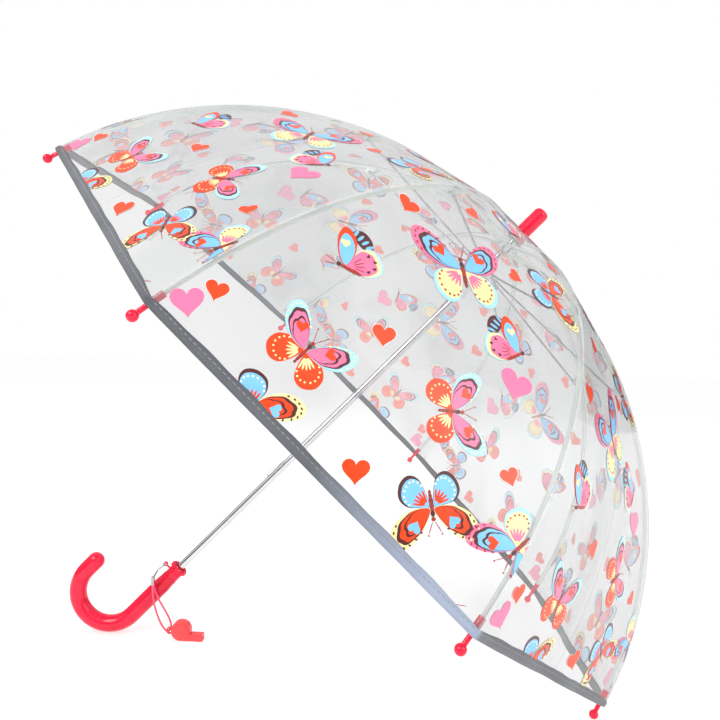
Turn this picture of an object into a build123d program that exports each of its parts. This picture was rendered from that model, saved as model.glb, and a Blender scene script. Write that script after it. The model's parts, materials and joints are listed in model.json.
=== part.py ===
from build123d import *
from math import acos, atan2, cos, degrees, hypot, pi, radians, sin, tan
import os

# Child's dome umbrella, open, with a J handle and a whistle on a cord.
# The umbrella is modelled upright: shaft along Z, rim of the dome at z = 0, hook towards -X.
# lying_place then sets it down on two rib tips and the back of the handle.
# The lanyard hangs, so it is modelled in the lying frame: X along the floor, Z up.

# Dome: eight panels, each bent one way only, with a rib under each seam
rib_count = 8
rim_radius = 370.0
arc_drop = 93.6
split_panel_radius = 174.5
crown_arc_radius = 309.0
crown_hole = 6.5
film = 0.4
seam_gap = 0.3
hem_below_rim = 4.3
runner_travel = 323.7

# Ribs, their joint clips and tips
rib_inset = 4.0
rod_radius = 1.6
eye_radius = 1.7
eye_thickness = 1.6
eye_hole = 0.9
eye_length = 9.0
eye_tail = 2.8
rod_start = 7.0
rod_gap = 1.95
clip_drop = 4.8
clip_cheek = 0.7
clip_ear = 1.6
clip_roof = 0.6
clip_roof_gap = 0.05
clip_gap = 3.6
clip_back = 9.0
clip_front = 3.0
pin_radius = 0.75
pin_proud = 0.4
tip_above = 8.5
tip_reach = 15.0
tip_sleeve_radius = 2.7
tip_fit = 0.35
tip_floor = 0.5
tip_shoulder = 3.0
tip_chamfer = 1.5
tip_stem_radius = 1.9
tip_ball = 4.0

# Stretchers
wire_radius = 1.1
wire_side = 4.1
wire_in_eye = 1.2
joggle_start = 5.0
joggle_end = 20.0
joggle_bend = 3.0

# Shaft and what is fixed to it
shaft_radius = 4.0
shaft_wall = 0.6
shaft_bottom = -300.0
shaft_top = 272.0
fit_gap = 0.05
slide_gap = 0.09
notch_height = 244.0
notch_ring = 7.0
notch_radius = 9.6
notch_half_depth = 4.5
slot_width = 2.3
slot_length = 10.0
slot_depth = 0.4
edge_break = 0.8
ring_wire = 0.55
wire_fit = 0.1
washer_bottom = 255.2
washer_radius = 9.2
washer_round = 0.6
ferrule_base = 256.9
ferrule_top = 299.0
ferrule_radius = 8.0
ferrule_flare = 8.9
ferrule_end_radius = 5.5
ferrule_band = 3.0
ferrule_taper = 3.0

# Runner and the leaf springs that hold it open or shut
runner_height = 211.3
runner_ring = 9.5
runner_crown = 12.0
runner_sleeve = 6.3
runner_length = 36.0
runner_half_crown = 3.0
runner_foot = 1.4
runner_foot_height = 3.0
spring_length = 24.0
spring_width = 2.6
spring_height = 2.2
spring_leaf = 0.5
spring_gap = 2.0
spring_flat = 1.0
spring_tail = 5.0
spring_fit = 0.1

# Handle
collar_top = -245.2
collar_bottom = -260.0
collar_radius = 9.8
neck_radius = 7.75
mouth_radius = 6.4
mouth_depth = 4.0
flare_top = 1.4
flare_bottom = 3.6
flare_foot = 5.0
tab_width = 6.0
tab_height = 4.6
tab_drop = 9.0
tab_sunk = 1.0
tab_proud = 0.7
step_radius = 8.2
step_top = 1.0
step_bottom = 6.5
neck_ease = 0.3
grip_radius = 9.0
grip_start = -274.0
bend_height = -320.0
bend_radius = 34.5
hook_end = -306.0
hook_dome = 8.2

# Lanyard
lug_x = -13.6
lug_z = -253.0
lug_side = -3.0
lug_wire = 0.8
lug_loop = 2.6
lug_eye = 1.5
lug_arm = 9.0
link_length = 13.0
link_width = 6.0
link_wire = 0.85
link_lean = 50.0
stem_sunk = 1.0
crimp_x = -195.0
crimp_top = 66.0
crimp_bottom = 57.5
crimp_width = 5.2
crimp_depth = 3.2
cord_radius = 1.0
cord_side = -13.0
ring_x = -175.6
ring_z = 9.2
ring_inside = 2.2
ring_outside = 3.6
drum_x = -163.0
drum_radius = 10.3
mouth_end = -139.5
mouth_height = 7.2
whistle_half_width = 5.6
disc_radius = 8.2
disc_proud = 0.5
whistle_wall = 1.5
whistle_round = 1.4
ring_half_width = 1.5
ring_arm = 2.4
window_start = 12.0
window_length = 4.0
slot_height = 2.4
pea_radius = 3.4
pea_gap = 0.1

# Worked out from these
half_panel = 180 / rib_count
ridge = 1 / cos(radians(half_panel))
panel_rim = rim_radius / ridge
dome_arc = hypot(panel_rim, arc_drop)
split_angle = degrees(acos(split_panel_radius / dome_arc))
rim_angle = degrees(atan2(arc_drop, panel_rim))
crown_shift = dome_arc - crown_arc_radius
crown_x = crown_shift * cos(radians(split_angle))
crown_z = crown_shift * sin(radians(split_angle)) - arc_drop
crown_angle = degrees(acos((crown_hole - crown_x) / crown_arc_radius))


def under_seam(angle):
    """The rod's centre under a seam, with the outward and the downward direction there."""
    x, z = dome_arc * cos(radians(angle)), dome_arc * sin(radians(angle))
    out = Vector(x, 0, z * ridge).normalized()
    down = Vector(out.Z, 0, -out.X)
    return Vector(x * ridge, 0, z - arc_drop) - out * rib_inset, out, down


fold_point, fold_out, fold_down = under_seam(split_angle)
middle_point = under_seam((split_angle + rim_angle) / 2)[0]
rim_point, rim_out, rim_down = under_seam(rim_angle)
hinge_point = Vector(notch_ring, 0, notch_height)
pin_point = fold_point - fold_out * clip_drop
chord = hinge_point - fold_point
rod_arc = chord.length**2 / (-2 * chord.dot(fold_out))
rod_centre = fold_point - fold_out * rod_arc
eye_direction = degrees(atan2(hinge_point.Z - rod_centre.Z, hinge_point.X - rod_centre.X)) - 90

# Resting pose: the common tangent of the lowest tips and of the handle's bend is the floor
tip_centre = rim_point + rim_down * tip_reach
tip_x = tip_centre.X * cos(radians(half_panel))
bend_outside = bend_radius + grip_radius
between_x = tip_x + bend_radius
between_z = tip_centre.Z - bend_height
floor_slope = acos((bend_outside - tip_ball) / hypot(between_x, between_z)) - atan2(between_z, between_x)
lean = pi / 2 - floor_slope
floor_height = tip_x * sin(lean) - tip_centre.Z * cos(lean) + tip_ball
reach_front = dome_arc - arc_drop * sin(lean)
reach_back = bend_radius * cos(lean) - bend_height * sin(lean) + bend_outside
centring = (reach_back - reach_front) / 2
lying_place = Location((centring, 0, floor_height), (0, degrees(lean), 0))
hanging_place = Location((centring, 0, 0))
rib_angles = [half_panel + number * 360 / rib_count for number in range(rib_count)]


def save(builders, label, place):
    """Puts a node's finished solids in their place and writes them."""
    solids = [solid for builder in builders for solid in builder.part.solids()]
    whole = solids[0] if len(solids) == 1 else Compound(solids)
    placed = whole.moved(place)
    placed.label = label
    export_step(placed, f"parts/{label}.step")


os.makedirs("parts", exist_ok=True)

# ---- Shaft: chromed steel tube ----
with BuildPart() as shaft:
    with BuildSketch(Plane.XY.offset(shaft_bottom)):
        Circle(shaft_radius)
        Circle(shaft_radius - shaft_wall, mode=Mode.SUBTRACT)
    extrude(amount=shaft_top - shaft_bottom)

# ---- Leaf springs: one under the open runner, one over the crown of the closed runner ----
high_shoulder = runner_height - runner_length - spring_gap
low_shoulder = runner_height + runner_half_crown - runner_travel + spring_gap
spring_back = -shaft_radius - spring_fit
spring_face = -shaft_radius - spring_height
with BuildPart() as catch_springs:
    for shoulder, ramp in ((high_shoulder, -1), (low_shoulder, 1)):
        with BuildSketch(Plane.XZ.offset(-spring_width / 2)):
            with BuildLine():
                Polyline(
                    (spring_back, shoulder + ramp * spring_length),
                    (spring_face, shoulder + ramp * spring_flat),
                    (spring_face, shoulder),
                    (spring_back, shoulder),
                    (spring_back, shoulder + ramp * spring_leaf),
                    (spring_face + spring_leaf, shoulder + ramp * spring_leaf),
                    (spring_face + spring_leaf, shoulder + ramp * spring_flat),
                    (spring_back, shoulder + ramp * (spring_length - spring_tail)),
                    close=True,
                )
            make_face()
        extrude(amount=spring_width)

# ---- Top notch: fixed ring with a slot and a wire for the ribs' eyes ----
with BuildPart() as top_notch:
    with BuildSketch(Plane.XY.offset(notch_height - notch_half_depth)):
        Circle(notch_radius)
        Circle(shaft_radius + fit_gap, mode=Mode.SUBTRACT)
    extrude(amount=2 * notch_half_depth)
    chamfer(top_notch.edges().filter_by(GeomType.CIRCLE).group_by(SortBy.RADIUS)[-1], edge_break)
    with BuildSketch(Plane.XY.offset(notch_height - notch_half_depth)):
        with PolarLocations(notch_ring - eye_radius - slot_depth, rib_count, half_panel):
            Rectangle(slot_length, slot_width, align=(Align.MIN, Align.CENTER))
    extrude(amount=2 * notch_half_depth, mode=Mode.SUBTRACT)
    with BuildSketch(Plane.XZ):
        with Locations((notch_ring, notch_height)):
            Circle(ring_wire + wire_fit)
    revolve(axis=Axis.Z, mode=Mode.SUBTRACT)
with BuildPart() as notch_wire:
    with BuildSketch(Plane.XZ):
        with Locations((notch_ring, notch_height)):
            Circle(ring_wire)
    revolve(axis=Axis.Z)

# ---- Washer and ferrule on top of the crown ----
with BuildPart() as crown_washer:
    with BuildSketch(Plane.XY.offset(washer_bottom)):
        Circle(washer_radius)
        Circle(shaft_radius + fit_gap, mode=Mode.SUBTRACT)
    extrude(amount=ferrule_base - washer_bottom - fit_gap)
    fillet(crown_washer.edges().filter_by(GeomType.CIRCLE).group_by(SortBy.RADIUS)[-1], washer_round)
with BuildPart() as ferrule:
    with BuildSketch(Plane.XZ):
        with BuildLine():
            Polyline(
                (0, ferrule_top),
                (0, shaft_top + shaft_wall),
                (shaft_radius + fit_gap, shaft_top + shaft_wall),
                (shaft_radius + fit_gap, ferrule_base),
                (ferrule_flare, ferrule_base),
                (ferrule_flare, ferrule_base + ferrule_band),
                (ferrule_radius, ferrule_base + ferrule_band + ferrule_taper),
                (ferrule_radius, ferrule_top - ferrule_end_radius),
            )
            RadiusArc(
                (ferrule_radius, ferrule_top - ferrule_end_radius),
                (ferrule_radius - ferrule_end_radius, ferrule_top),
                -ferrule_end_radius,
            )
            Line((ferrule_radius - ferrule_end_radius, ferrule_top), (0, ferrule_top))
        make_face()
    revolve(axis=Axis.Z)

# ---- Runner: sleeve on the shaft with a slotted crown and its wire ----
with BuildPart() as runner:
    with BuildSketch(Plane.XY.offset(runner_height - runner_length)):
        Circle(runner_sleeve)
    extrude(amount=runner_length)
    with BuildSketch(Plane.XY.offset(runner_height - runner_length)):
        Circle(runner_sleeve + runner_foot)
    extrude(amount=runner_foot_height)
    with BuildSketch(Plane.XY.offset(runner_height - runner_half_crown)):
        Circle(runner_crown)
    extrude(amount=2 * runner_half_crown)
    chamfer(runner.edges().filter_by(GeomType.CIRCLE).group_by(SortBy.RADIUS)[-1], edge_break)
    with BuildSketch(Plane.XY.offset(runner_height - runner_length)):
        Circle(shaft_radius + slide_gap)
    extrude(amount=runner_length + runner_half_crown, mode=Mode.SUBTRACT)
    with BuildSketch(Plane.XY.offset(runner_height - runner_half_crown)):
        with PolarLocations(runner_ring - eye_radius - slot_depth, rib_count, half_panel):
            Rectangle(slot_length, slot_width, align=(Align.MIN, Align.CENTER))
    extrude(amount=2 * runner_half_crown, mode=Mode.SUBTRACT)
    with BuildSketch(Plane.XZ):
        with Locations((runner_ring, runner_height)):
            Circle(ring_wire + wire_fit)
    revolve(axis=Axis.Z, mode=Mode.SUBTRACT)
with BuildPart() as runner_wire:
    with BuildSketch(Plane.XZ):
        with Locations((runner_ring, runner_height)):
            Circle(ring_wire)
    revolve(axis=Axis.Z)

# ---- Handle: collar with a funnel mouth, then the J-shaped grip ----
with BuildPart() as handle_collar:
    with BuildSketch(Plane.XZ):
        with BuildLine():
            Polyline(
                (shaft_radius + fit_gap, collar_bottom),
                (neck_radius, collar_bottom),
                (neck_radius, collar_top - flare_foot),
                (collar_radius, collar_top - flare_bottom),
                (collar_radius, collar_top - flare_top),
                (collar_radius - flare_top, collar_top),
                (mouth_radius, collar_top),
                (shaft_radius + fit_gap, collar_top - mouth_depth),
                close=True,
            )
        make_face()
    revolve(axis=Axis.Z)
    with BuildSketch(Plane.XZ.offset(neck_radius - tab_sunk)):
        with Locations((0, collar_top - tab_drop)):
            RectangleRounded(tab_width, tab_height, edge_break)
    extrude(amount=tab_sunk + tab_proud)
    with BuildSketch(Plane(origin=(lug_x, lug_side, lug_z), x_dir=(1, 0, 0), z_dir=(0, -1, 0))):
        Circle(lug_loop)
        Rectangle(lug_arm, 2 * lug_wire, align=(Align.MIN, Align.CENTER))
        Circle(lug_eye, mode=Mode.SUBTRACT)
    extrude(amount=lug_wire, both=True)
    with BuildSketch(Plane.XY.offset(collar_bottom)):
        Circle(shaft_radius + fit_gap)
    extrude(amount=collar_top - collar_bottom, mode=Mode.SUBTRACT)

with BuildPart() as handle:
    with BuildSketch(Plane.XZ):
        with BuildLine():
            Polyline(
                (0, grip_start),
                (0, collar_bottom - fit_gap),
                (neck_radius - neck_ease, collar_bottom - fit_gap),
                (step_radius, collar_bottom - step_top),
                (step_radius, collar_bottom - step_bottom),
                (grip_radius, grip_start),
                close=True,
            )
        make_face()
    revolve(axis=Axis.Z)
    with BuildLine(Plane.XZ) as grip_path:
        Line((0, grip_start), (0, bend_height))
        CenterArc((-bend_radius, bend_height), bend_radius, 0, -180)
        Line((-2 * bend_radius, bend_height), (-2 * bend_radius, hook_end))
    with BuildSketch(Plane.XY.offset(grip_start)):
        Circle(grip_radius)
    sweep(path=grip_path.wires()[0])
    with BuildSketch(Plane(origin=(-2 * bend_radius, 0, 0), x_dir=(1, 0, 0), z_dir=(0, -1, 0))):
        with BuildLine():
            Line((0, hook_end), (grip_radius, hook_end))
            EllipticalCenterArc((0, hook_end), grip_radius, hook_dome, start_angle=0, arc_size=90)
            Line((0, hook_end + hook_dome), (0, hook_end))
        make_face()
    revolve(axis=Axis((-2 * bend_radius, 0, 0), (0, 0, 1)))
    with BuildSketch(Plane.XY.offset(shaft_bottom - shaft_wall)):
        Circle(shaft_radius + fit_gap)
    extrude(amount=collar_bottom - shaft_bottom + shaft_wall, mode=Mode.SUBTRACT)

# ---- Rib, upper half: eye at the notch, rod, and the clip that holds the stretcher's pin ----
with BuildPart() as rib_upper:
    start = eye_direction + 90 - degrees(rod_start / rod_arc)
    end = degrees(atan2(fold_out.Z, fold_out.X)) + degrees(rod_gap / rod_arc)
    with BuildLine(Plane.XZ) as upper_path:
        CenterArc((rod_centre.X, rod_centre.Z), rod_arc, start, end - start)
    with BuildSketch(Plane(origin=upper_path.line @ 0, z_dir=upper_path.line % 0)):
        Circle(rod_radius)
    sweep(path=upper_path.line)
    eye_way = Vector(cos(radians(eye_direction)), 0, sin(radians(eye_direction)))
    eye_plane = Plane(origin=hinge_point, x_dir=eye_way, z_dir=(0, -1, 0))
    with BuildSketch(eye_plane):
        Circle(eye_radius)
        Rectangle(eye_length, eye_tail, align=(Align.MIN, Align.CENTER))
    extrude(amount=eye_thickness / 2, both=True)
    with BuildSketch(eye_plane):
        Circle(eye_hole)
    extrude(amount=eye_thickness, both=True, mode=Mode.SUBTRACT)
clip_plane = Plane(origin=fold_point, x_dir=fold_down, z_dir=(0, -1, 0))
cheek_side = clip_gap / 2 + clip_cheek
with BuildPart() as rib_clip:
    with BuildSketch(clip_plane):
        with BuildLine():
            Polyline(
                (-clip_back, rod_radius + 2 * clip_roof_gap),
                (-clip_back, -rod_radius),
                (-clip_front, -clip_drop - clip_ear),
                (clip_front, -clip_drop - clip_ear),
                (clip_front, rod_radius + 2 * clip_roof_gap),
                close=True,
            )
        make_face()
    extrude(amount=cheek_side, both=True)
    with BuildSketch(clip_plane):
        with Locations(((clip_front - clip_back) / 2, 0)):
            Rectangle(2 * clip_back, 4 * clip_drop)
    extrude(amount=clip_gap / 2, both=True, mode=Mode.SUBTRACT)
    with BuildSketch(clip_plane):
        with Locations((-(clip_back + rod_gap) / 2, rod_radius + clip_roof_gap + clip_roof / 2)):
            Rectangle(clip_back - rod_gap, clip_roof)
    extrude(amount=clip_gap / 2 + clip_cheek / 2, both=True)
    with BuildSketch(clip_plane.offset(-wire_side - wire_radius - pin_proud)):
        with Locations((0, -clip_drop)):
            Circle(pin_radius)
    extrude(amount=wire_side + wire_radius + pin_proud + cheek_side)

# ---- Rib, lower half: the same rod, from its ball at the clip to the rim ----
with BuildPart() as rib_lower:
    with BuildLine(Plane.XZ) as lower_path:
        ThreePointArc(
            (fold_point.X, fold_point.Z),
            (middle_point.X, middle_point.Z),
            (rim_point.X, rim_point.Z),
        )
    with BuildSketch(Plane(origin=lower_path.line @ 0, z_dir=lower_path.line % 0)):
        Circle(rod_radius)
    sweep(path=lower_path.line)
    with Locations(lower_path.line @ 0):
        Sphere(rod_radius)

# ---- Tip: sleeve over the rod's end, stem and ball ----
with BuildPart() as rib_tip:
    tip_plane = Plane(origin=rim_point, x_dir=rim_out, z_dir=(0, -1, 0))
    with BuildSketch(tip_plane):
        with BuildLine():
            Polyline(
                (rod_radius + tip_fit, tip_above),
                (tip_sleeve_radius, tip_above),
                (tip_sleeve_radius, -tip_shoulder),
                (tip_stem_radius, -tip_shoulder - tip_chamfer),
                (tip_stem_radius, -tip_reach),
                (0, -tip_reach),
                (0, -tip_floor),
                (rod_radius + tip_fit, -tip_floor),
                close=True,
            )
        make_face()
    revolve(axis=Axis(rim_point, rim_down))
    with Locations(tip_centre):
        Sphere(tip_ball)

# ---- Stretcher: steel wire from the runner to the pin beside the rib ----
ring_point = Vector(runner_ring, 0, runner_height)
wire_way = (pin_point - ring_point).normalized()
wire_end = (pin_point - ring_point).length
wire_plane = Plane(origin=ring_point, x_dir=wire_way, z_dir=wire_way.cross(Vector(0, 1, 0)))
with BuildPart() as stretcher:
    with BuildLine(wire_plane) as wire_path:
        FilletPolyline(
            (joggle_start, 0),
            (joggle_start + 2 * wire_radius, 0),
            (joggle_end, wire_side),
            (wire_end - wire_in_eye, wire_side),
            radius=joggle_bend,
        )
    with BuildSketch(Plane(origin=wire_path.line @ 0, z_dir=wire_path.line % 0)):
        Circle(wire_radius)
    sweep(path=wire_path.wires()[0])
    side_plane = Plane(origin=ring_point, x_dir=wire_way, z_dir=(0, -1, 0))
    with BuildSketch(side_plane):
        Circle(eye_radius)
        Rectangle(joggle_start + 2 * wire_radius, 2 * wire_radius, align=(Align.MIN, Align.CENTER))
    extrude(amount=eye_thickness / 2, both=True)
    with BuildSketch(side_plane.offset(-wire_side)):
        with Locations((wire_end, 0)):
            Circle(eye_radius)
    extrude(amount=eye_thickness / 2, both=True)
    with BuildSketch(side_plane):
        Circle(eye_hole)
        with Locations((wire_end, 0)):
            Circle(eye_hole)
    extrude(amount=3 * wire_side, both=True, mode=Mode.SUBTRACT)

# ---- Canopy: for each rib, the two half panels beside it, upper and lower ----
panel_way = radians(half_panel)
panel_plane = Plane(
    origin=(seam_gap / 2 * sin(panel_way), -seam_gap / 2 * cos(panel_way), 0),
    x_dir=(cos(panel_way), sin(panel_way), 0),
    z_dir=(sin(panel_way), -cos(panel_way), 0),
)
cut_angle = degrees(seam_gap / 2 / dome_arc)
hem_angle = rim_angle - degrees(hem_below_rim / dome_arc)
strips = {
    "upper": (crown_x, crown_z, crown_arc_radius, split_angle, crown_angle),
    "lower": (0, -arc_drop, dome_arc, hem_angle, split_angle - cut_angle),
}
canopies = {}
for half, (x, z, radius, low, high) in strips.items():
    with BuildPart() as canopy:
        with BuildSketch(panel_plane):
            with BuildLine():
                outer = CenterArc((x, z), radius, low, high - low)
                inner = CenterArc((x, z), radius - film, low, high - low)
                Line(outer @ 0, inner @ 0)
                Line(outer @ 1, inner @ 1)
            make_face()
        extrude(amount=panel_rim * 0.5)
        split(bisect_by=Plane.XZ, keep=Keep.BOTTOM)
        mirror(about=Plane.XZ)
    canopies[half] = canopy

# ---- Lanyard link and crimp: steel link through the collar's lug, and the tube that grips the cord ----
lug_lying = Location((0, 0, floor_height), (0, degrees(lean), 0)) * Location((lug_x, lug_side, lug_z))
link_top = lug_lying.position
link_way = Vector(-sin(radians(link_lean)), 0, -cos(radians(link_lean)))
link_plane = Plane(
    origin=link_top + link_way * (link_length / 2 - link_wire),
    x_dir=link_way,
    z_dir=link_way.cross(Vector(0, 1, 0)),
)
link_foot = link_top + link_way * (link_length - 2 * link_wire)
stem = Vector(crimp_x, cord_side, crimp_top - stem_sunk) - link_foot
with BuildPart() as lanyard_clip:
    with BuildSketch(link_plane):
        SlotOverall(link_length, link_width)
        SlotOverall(link_length - 4 * link_wire, link_width - 4 * link_wire, mode=Mode.SUBTRACT)
    extrude(amount=link_wire, both=True)
    with BuildSketch(Plane(origin=link_foot, z_dir=stem.normalized())):
        Circle(link_wire)
    extrude(amount=stem.length)
    with BuildSketch(Plane.XY.offset(crimp_bottom)):
        with Locations((crimp_x, cord_side)):
            SlotOverall(crimp_width, crimp_depth, rotation=90)
    extrude(amount=crimp_top - crimp_bottom)

# ---- Lanyard cord: one loop from the crimp, through the whistle's eye and back ----
cord_points = [
    Vector(-194.8, -14.2, crimp_bottom),
    Vector(-194.5, -14.3, 48.5),
    Vector(-192.4, -14.8, 36.0),
    Vector(-187.8, -15.5, 23.5),
    Vector(-182.6, -16.3, 14.0),
    Vector(-177.8, -16.4, 9.2),
    Vector(ring_x, cord_side, ring_z),
    Vector(-174.6, -9.6, 12.0),
    Vector(-176.8, -9.2, 19.5),
    Vector(-181.6, -10.2, 29.0),
    Vector(-187.4, -11.2, 38.8),
    Vector(-192.3, -11.7, 48.8),
    Vector(-194.8, -11.8, crimp_bottom),
]
cord_radii = []
for before, corner, after in zip(cord_points, cord_points[1:], cord_points[2:]):
    run_in, run_out = corner - before, after - corner
    half_turn = radians(run_in.get_angle(run_out)) / 2
    cord_radii.append(0.45 * min(run_in.length, run_out.length) / tan(half_turn))
with BuildPart() as lanyard_cord:
    with BuildLine() as cord_path:
        FilletPolyline(*cord_points, radius=cord_radii)
    with BuildSketch(Plane(origin=cord_path.line @ 0, z_dir=cord_path.line % 0)):
        Circle(cord_radius)
    sweep(path=cord_path.wires()[0])
print("cord radii", [round(r, 1) for r in cord_radii])
cord_length = cord_path.wires()[0].length
print("cord length", cord_length, "volume", lanyard_cord.part.volume)
print("section times length", pi * cord_radius**2 * cord_length)

# ---- Whistle: drum with a flat mouthpiece and an eye for the cord; the pea rolls inside ----
whistle_plane = Plane(origin=(0, cord_side, 0), x_dir=(1, 0, 0), z_dir=(0, -1, 0))
with BuildPart() as whistle:
    with BuildSketch(whistle_plane):
        with Locations((drum_x, drum_radius)):
            Circle(drum_radius)
        with Locations((drum_x, 0)):
            Rectangle(mouth_end - drum_x, mouth_height, align=(Align.MIN, Align.MIN))
    extrude(amount=whistle_half_width, both=True)
    side_edges = whistle.edges().group_by(Axis.Y)
    fillet(side_edges[-1] + side_edges[0], whistle_round)
    with BuildSketch(whistle_plane):
        with Locations((drum_x, drum_radius)):
            Circle(disc_radius)
    extrude(amount=whistle_half_width + disc_proud, both=True)
    with BuildSketch(whistle_plane):
        with Locations((ring_x, ring_z)):
            Circle(ring_outside)
        with Locations((ring_x, ring_z)):
            Rectangle(drum_x - ring_x, ring_arm, align=(Align.MIN, Align.CENTER))
    extrude(amount=ring_half_width, both=True)
    with BuildSketch(whistle_plane):
        with Locations((ring_x, ring_z)):
            Circle(ring_inside)
    extrude(amount=2 * ring_half_width, both=True, mode=Mode.SUBTRACT)
    with BuildSketch(whistle_plane):
        with Locations((drum_x, drum_radius)):
            Circle(drum_radius - whistle_wall)
        with Locations((drum_x, whistle_wall)):
            Rectangle(mouth_end + whistle_wall - drum_x, slot_height, align=(Align.MIN, Align.MIN))
    extrude(amount=whistle_half_width - whistle_wall, both=True, mode=Mode.SUBTRACT)
    with BuildSketch(whistle_plane):
        with Locations((drum_x + window_start, 0)):
            Rectangle(window_length, 3 * whistle_wall, align=(Align.MIN, Align.CENTER))
    extrude(amount=whistle_half_width - whistle_wall, both=True, mode=Mode.SUBTRACT)
with BuildPart() as whistle_pea:
    with Locations((drum_x, cord_side, whistle_wall + pea_radius + pea_gap)):
        Sphere(pea_radius)

# ---- Every piece in its place ----
fixed = {
    "shaft": [shaft],
    "handle": [handle],
    "handle_collar": [handle_collar],
    "top_notch": [top_notch, notch_wire],
    "ferrule": [ferrule],
    "crown_washer": [crown_washer],
    "catch_springs": [catch_springs],
    "runner": [runner, runner_wire],
}
per_rib = {
    "rib_upper": [rib_upper, rib_clip],
    "rib_lower": [rib_lower],
    "rib_tip": [rib_tip],
    "stretcher": [stretcher],
    "canopy_upper": [canopies["upper"]],
    "canopy_lower": [canopies["lower"]],
}
hanging = {
    "lanyard_clip": [lanyard_clip],
    "lanyard_cord": [lanyard_cord],
    "whistle": [whistle],
    "whistle_pea": [whistle_pea],
}
for label, builders in fixed.items():
    save(builders, label, lying_place)
for label, builders in hanging.items():
    save(builders, label, hanging_place)
for number, angle in enumerate(rib_angles, 1):
    for label, builders in per_rib.items():
        save(builders, f"{label}_{number}", lying_place * Location((0, 0, 0), (0, 0, angle)))
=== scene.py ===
import json
from math import acos, atan2, ceil, cos, exp, hypot, pi, radians, sin, tan

import bmesh
import bpy
from mathutils import Matrix, Vector


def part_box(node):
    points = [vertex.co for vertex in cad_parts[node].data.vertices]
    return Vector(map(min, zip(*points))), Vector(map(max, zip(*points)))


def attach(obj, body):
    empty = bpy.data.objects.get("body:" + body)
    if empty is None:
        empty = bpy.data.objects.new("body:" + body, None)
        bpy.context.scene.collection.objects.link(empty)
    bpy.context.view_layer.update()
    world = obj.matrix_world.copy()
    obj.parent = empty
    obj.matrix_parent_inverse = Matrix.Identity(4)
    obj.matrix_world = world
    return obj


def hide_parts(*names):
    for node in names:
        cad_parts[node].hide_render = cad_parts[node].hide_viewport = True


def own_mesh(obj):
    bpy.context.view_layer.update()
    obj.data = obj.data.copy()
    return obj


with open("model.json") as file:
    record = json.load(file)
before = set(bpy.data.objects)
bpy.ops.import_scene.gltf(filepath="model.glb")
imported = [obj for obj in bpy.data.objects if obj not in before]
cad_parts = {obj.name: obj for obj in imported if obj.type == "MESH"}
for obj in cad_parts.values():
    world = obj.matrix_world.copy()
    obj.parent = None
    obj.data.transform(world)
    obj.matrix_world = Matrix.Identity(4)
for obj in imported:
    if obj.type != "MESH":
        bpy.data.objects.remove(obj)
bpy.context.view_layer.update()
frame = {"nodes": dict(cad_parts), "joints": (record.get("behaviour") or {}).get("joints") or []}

# where things are: the shaft's direction, the notch on it, and a way from upright places to lying ones
jointNamed = {joint["name"]: joint for joint in frame["joints"]}
shaftUp = -Vector(jointNamed["runner_slide"]["axis"]).normalized()
shaftAcross = Vector((shaftUp.z, 0, -shaftUp.x))
ribNumbers = range(1, 9)
notchHeight = 0.244  # above the plane of the rim
notchPlace = sum((Vector(jointNamed[f"rib_hinge_{k}"]["pos_m"]) for k in ribNumbers), Vector()) / 8
halfPanel = radians(22.5)


def lying(x, y, z):
    return notchPlace + shaftAcross * x + Vector((0, y, 0)) + shaftUp * (z - notchHeight)


# the camera stands where the photo's did
view = {"place": (0.0343, -0.7829, 0.3305), "forward": (-0.0216, 0.9992, -0.0331),
        "right": (0.9992, 0.0227, 0.0334), "lens": 36.7}


def makeCamera():
    bpy.ops.object.camera_add(location=view["place"])
    camera = bpy.context.object
    forward, right = Vector(view["forward"]).normalized(), Vector(view["right"]).normalized()
    up = right.cross(forward)
    turn = Matrix((right, up, -forward)).transposed().to_4x4()
    camera.matrix_world = Matrix.Translation(view["place"]) @ turn
    camera.data.lens = view["lens"]
    camera.data.sensor_width = 36
    camera.data.clip_start = 0.01
    bpy.context.scene.camera = camera
    bpy.context.scene.view_settings.view_transform = "Standard"


# shader helpers and groups
def nodeMaterial(name):
    material = bpy.data.materials.new(name)
    material.use_nodes = True
    return material, material.node_tree, material.node_tree.nodes["Principled BSDF"]


def setShader(shader, values):
    for socket, value in values.items():
        shader.inputs[socket].default_value = value


def newGroup(name, inputs, outputs):
    group = bpy.data.node_groups.new(name, "ShaderNodeTree")
    for socketName, kind, value in inputs:
        socket = group.interface.new_socket(name=socketName, in_out="INPUT", socket_type=kind)
        socket.default_value = value
    for socketName, kind in outputs:
        group.interface.new_socket(name=socketName, in_out="OUTPUT", socket_type=kind)
    return group, group.nodes.new("NodeGroupInput"), group.nodes.new("NodeGroupOutput")


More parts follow.
